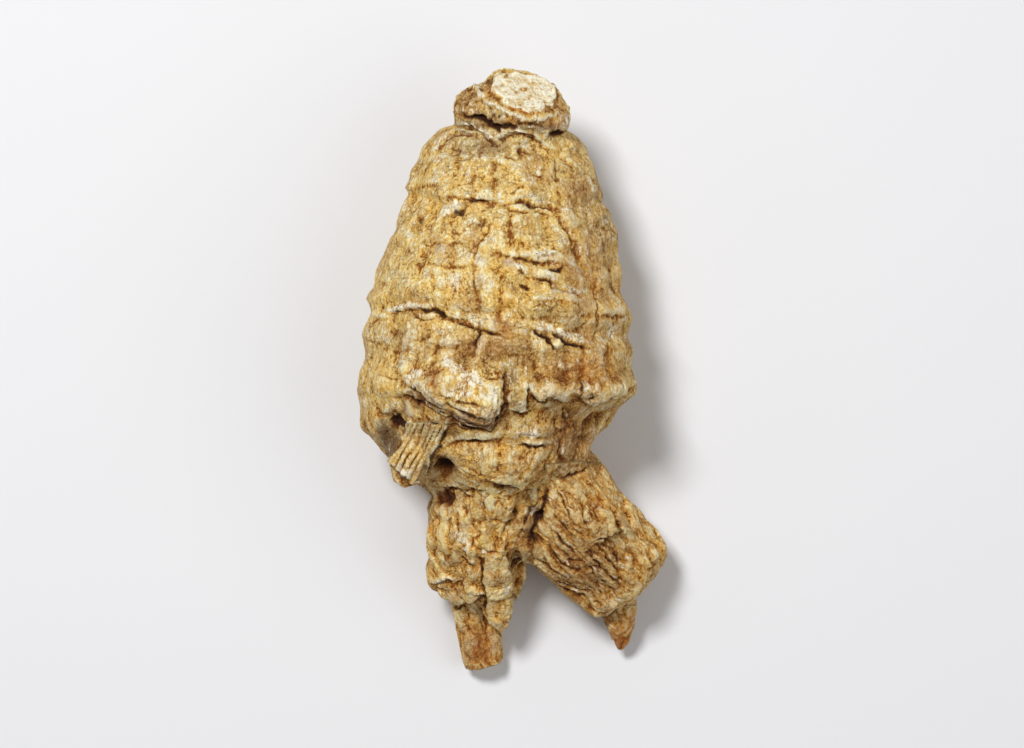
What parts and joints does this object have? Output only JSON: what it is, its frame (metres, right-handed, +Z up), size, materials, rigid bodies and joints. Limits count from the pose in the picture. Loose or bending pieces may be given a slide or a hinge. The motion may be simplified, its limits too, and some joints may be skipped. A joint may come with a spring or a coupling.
{
  "type": "dried ginseng root",
  "caption": "Short dried ginseng root lying on its back: plump body with annular wrinkles, a cut neck, a broken side root and forked legs with a cut tip, a nub and a spur.",
  "frame": {"origin": "bottom centre of the box around the root, on the surface it rests on", "axes": "+Y along the root from the legs towards the neck, +Z up, away from the surface; the face with the broken side root looks up"},
  "size_m": [0.032, 0.0616, 0.0253],
  "materials": {
    "root": "matt, wrinkled, dry"
  },
  "bodies": {
    "root": {"ginseng_root": "root"}
  },
  "joints": []
}
